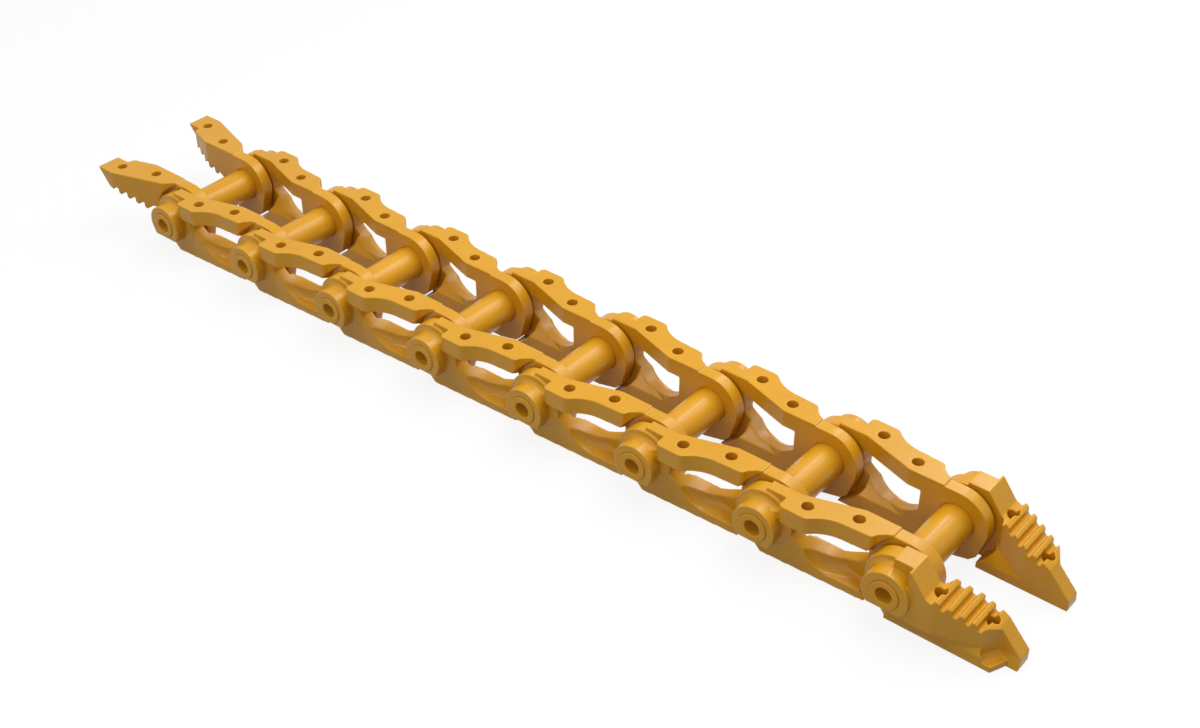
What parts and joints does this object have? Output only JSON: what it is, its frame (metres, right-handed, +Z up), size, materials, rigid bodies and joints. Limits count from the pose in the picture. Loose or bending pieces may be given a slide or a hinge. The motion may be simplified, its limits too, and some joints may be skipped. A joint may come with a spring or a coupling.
{
  "type": "dozer track chain",
  "caption": "Sealed dozer track chain: paired forged links on pins and bushings that hinge at each joint, with split toothed master halves at both ends.",
  "frame": {"origin": "middle of the straight chain, on the plane that the rails stand on", "axes": "+X along the chain from the bushing end masters to the pin end masters, +Y across it to the left row, +Z up to the shoe faces"},
  "size_m": [1.8812, 0.278, 0.119],
  "materials": {
    "link_paint": "semi-gloss ochre paint on forged steel",
    "pin_paint": "semi-gloss ochre paint on ground steel",
    "bushing_paint": "semi-gloss ochre paint on ground steel",
    "seal_rubber": "matt black rubber",
    "thrust_steel": "turned steel",
    "stopper_rubber": "matt black rubber"
  },
  "bodies": {
    "bushing_master": {"left_master_bushing_end": "link_paint", "right_master_bushing_end": "link_paint", "bushing_1": "bushing_paint"},
    "link_1": {"left_link_1": "link_paint", "right_link_1": "link_paint", "pin_1": "pin_paint", "seal_pair_1": "seal_rubber", "thrust_ring_pair_1": "thrust_steel", "oil_stopper_pair_1": "stopper_rubber", "bushing_2": "bushing_paint"},
    "link_2": {"left_link_2": "link_paint", "right_link_2": "link_paint", "pin_2": "pin_paint", "seal_pair_2": "seal_rubber", "thrust_ring_pair_2": "thrust_steel", "oil_stopper_pair_2": "stopper_rubber", "bushing_3": "bushing_paint"},
    "link_3": {"left_link_3": "link_paint", "right_link_3": "link_paint", "pin_3": "pin_paint", "seal_pair_3": "seal_rubber", "thrust_ring_pair_3": "thrust_steel", "oil_stopper_pair_3": "stopper_rubber", "bushing_4": "bushing_paint"},
    "link_4": {"left_link_4": "link_paint", "right_link_4": "link_paint", "pin_4": "pin_paint", "seal_pair_4": "seal_rubber", "thrust_ring_pair_4": "thrust_steel", "oil_stopper_pair_4": "stopper_rubber", "bushing_5": "bushing_paint"},
    "link_5": {"left_link_5": "link_paint", "right_link_5": "link_paint", "pin_5": "pin_paint", "seal_pair_5": "seal_rubber", "thrust_ring_pair_5": "thrust_steel", "oil_stopper_pair_5": "stopper_rubber", "bushing_6": "bushing_paint"},
    "link_6": {"left_link_6": "link_paint", "right_link_6": "link_paint", "pin_6": "pin_paint", "seal_pair_6": "seal_rubber", "thrust_ring_pair_6": "thrust_steel", "oil_stopper_pair_6": "stopper_rubber", "bushing_7": "bushing_paint"},
    "link_7": {"left_link_7": "link_paint", "right_link_7": "link_paint", "pin_7": "pin_paint", "seal_pair_7": "seal_rubber", "thrust_ring_pair_7": "thrust_steel", "oil_stopper_pair_7": "stopper_rubber", "bushing_8": "bushing_paint"},
    "pin_master": {"left_master_pin_end": "link_paint", "right_master_pin_end": "link_paint", "pin_8": "pin_paint", "seal_pair_8": "seal_rubber", "thrust_ring_pair_8": "thrust_steel", "oil_stopper_pair_8": "stopper_rubber"}
  },
  "joints": [
    {"name": "track_hinge_1", "type": "hinge", "parent": "link_1", "child": "bushing_master", "pos_m": [-0.75625, 0, 0.0655], "axis": [0, -1, 0], "range_deg": [-5, 28]},
    {"name": "track_hinge_2", "type": "hinge", "parent": "link_2", "child": "link_1", "pos_m": [-0.54025, 0, 0.0655], "axis": [0, -1, 0], "range_deg": [-5, 28]},
    {"name": "track_hinge_3", "type": "hinge", "parent": "link_3", "child": "link_2", "pos_m": [-0.32425, 0, 0.0655], "axis": [0, -1, 0], "range_deg": [-5, 28]},
    {"name": "track_hinge_4", "type": "hinge", "parent": "link_4", "child": "link_3", "pos_m": [-0.10825, 0, 0.0655], "axis": [0, -1, 0], "range_deg": [-5, 28]},
    {"name": "track_hinge_5", "type": "hinge", "parent": "link_4", "child": "link_5", "pos_m": [0.10775, 0, 0.0655], "axis": [0, 1, 0], "range_deg": [-5, 28]},
    {"name": "track_hinge_6", "type": "hinge", "parent": "link_5", "child": "link_6", "pos_m": [0.32375, 0, 0.0655], "axis": [0, 1, 0], "range_deg": [-5, 28]},
    {"name": "track_hinge_7", "type": "hinge", "parent": "link_6", "child": "link_7", "pos_m": [0.53975, 0, 0.0655], "axis": [0, 1, 0], "range_deg": [-5, 28]},
    {"name": "track_hinge_8", "type": "hinge", "parent": "link_7", "child": "pin_master", "pos_m": [0.75575, 0, 0.0655], "axis": [0, 1, 0], "range_deg": [-5, 28]}
  ]
}
